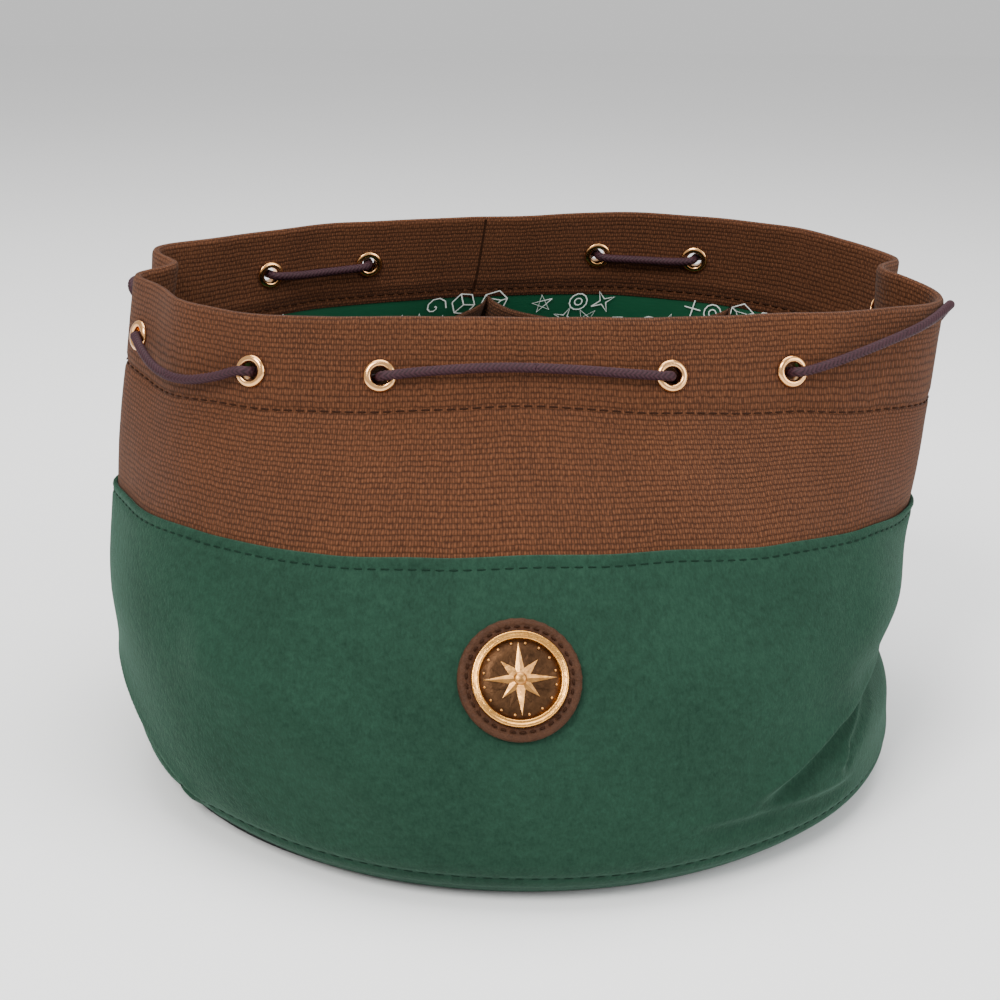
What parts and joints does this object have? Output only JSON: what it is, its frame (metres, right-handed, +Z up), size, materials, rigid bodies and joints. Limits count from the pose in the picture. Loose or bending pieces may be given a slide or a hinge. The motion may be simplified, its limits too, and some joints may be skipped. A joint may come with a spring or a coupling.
{
  "type": "drawstring dice bag",
  "caption": "Round cloth dice bag with a flat base, a two-tone wall, inner pockets, a laced drawcord through metal eyelets, and a mouth that gathers inwards.",
  "frame": {"origin": "middle of the base's underside, on the surface the bag stands on", "axes": "+Z up, the badge on the front faces -Y, +X to the right of the front"},
  "size_m": [0.232, 0.228, 0.1355],
  "materials": {
    "suede": "soft nap",
    "canvas": "plain weave",
    "lining": "smooth, printed",
    "base_cloth": "matte",
    "board": "matte",
    "eyelet_brass": "polished",
    "cord": "round braid",
    "patch_leather": "grained",
    "antique_brass": "antique"
  },
  "bodies": {
    "bag": {"base_board": "board", "base_lining": "lining", "base_panel": "base_cloth", "hem_span_back_left_to_left": "canvas", "hem_span_back_right_to_back_left": "canvas", "hem_span_front_left_to_front_right": "canvas", "hem_span_front_right_to_right": "canvas", "hem_span_left_to_front_left": "canvas", "hem_span_right_to_back_right": "canvas", "knot_left": "cord", "knot_right": "cord", "lining_wall": "lining", "lower_wall": "suede", "medallion": "antique_brass", "patch": "patch_leather", "pocket_1": "canvas", "pocket_2": "canvas", "pocket_3": "canvas", "pocket_4": "canvas", "pocket_5": "canvas", "pocket_6": "canvas", "pocket_7": "canvas", "pocket_8": "canvas", "upper_wall": "canvas"},
    "gather_front_right": {"hem_front_right": "canvas", "eyelets_front_right": "eyelet_brass", "washers_front_right": "eyelet_brass", "cord_front_right": "cord"},
    "gather_right": {"hem_right": "canvas", "eyelets_right": "eyelet_brass", "washers_right": "eyelet_brass", "cord_right": "cord"},
    "gather_back_right": {"hem_back_right": "canvas", "eyelets_back_right": "eyelet_brass", "washers_back_right": "eyelet_brass", "cord_back_right": "cord", "tail_right": "cord"},
    "gather_back_left": {"hem_back_left": "canvas", "eyelets_back_left": "eyelet_brass", "washers_back_left": "eyelet_brass", "cord_back_left": "cord", "tail_left": "cord"},
    "gather_left": {"hem_left": "canvas", "eyelets_left": "eyelet_brass", "washers_left": "eyelet_brass", "cord_left": "cord"},
    "gather_front_left": {"hem_front_left": "canvas", "eyelets_front_left": "eyelet_brass", "washers_front_left": "eyelet_brass", "cord_front_left": "cord"}
  },
  "joints": [
    {"name": "gather_front_left_slide", "type": "slide", "parent": "bag", "child": "gather_front_left", "axis": [0.7634, 0.6459, 0], "range_m": [0, 0.03406], "deforming": ["cord_front_left"]},
    {"name": "gather_front_right_slide", "type": "slide", "parent": "bag", "child": "gather_front_right", "axis": [-0.7634, 0.6459, 0], "range_m": [0, 0.03416], "deforming": ["cord_front_right"]},
    {"name": "gather_right_slide", "type": "slide", "parent": "bag", "child": "gather_right", "axis": [-1, 0, 0], "range_m": [0, 0.0421], "deforming": ["cord_right"]},
    {"name": "gather_back_right_slide", "type": "slide", "parent": "bag", "child": "gather_back_right", "axis": [-0.6508, -0.7593, 0], "range_m": [0, 0.03698], "deforming": ["cord_back_right", "tail_right"]},
    {"name": "gather_back_left_slide", "type": "slide", "parent": "bag", "child": "gather_back_left", "axis": [0.6508, -0.7593, 0], "range_m": [0, 0.03698], "deforming": ["cord_back_left", "tail_left"]},
    {"name": "gather_left_slide", "type": "slide", "parent": "bag", "child": "gather_left", "axis": [1, 0, 0], "range_m": [0, 0.0421], "deforming": ["cord_left"]}
  ],
  "couplings": [
    {"joint": "gather_front_right_slide", "follows": "gather_front_left_slide", "ratio": 1},
    {"joint": "gather_right_slide", "follows": "gather_front_left_slide", "ratio": 1.2332},
    {"joint": "gather_back_right_slide", "follows": "gather_front_left_slide", "ratio": 1.0828},
    {"joint": "gather_back_left_slide", "follows": "gather_front_left_slide", "ratio": 1.0828},
    {"joint": "gather_left_slide", "follows": "gather_front_left_slide", "ratio": 1.2332}
  ]
}
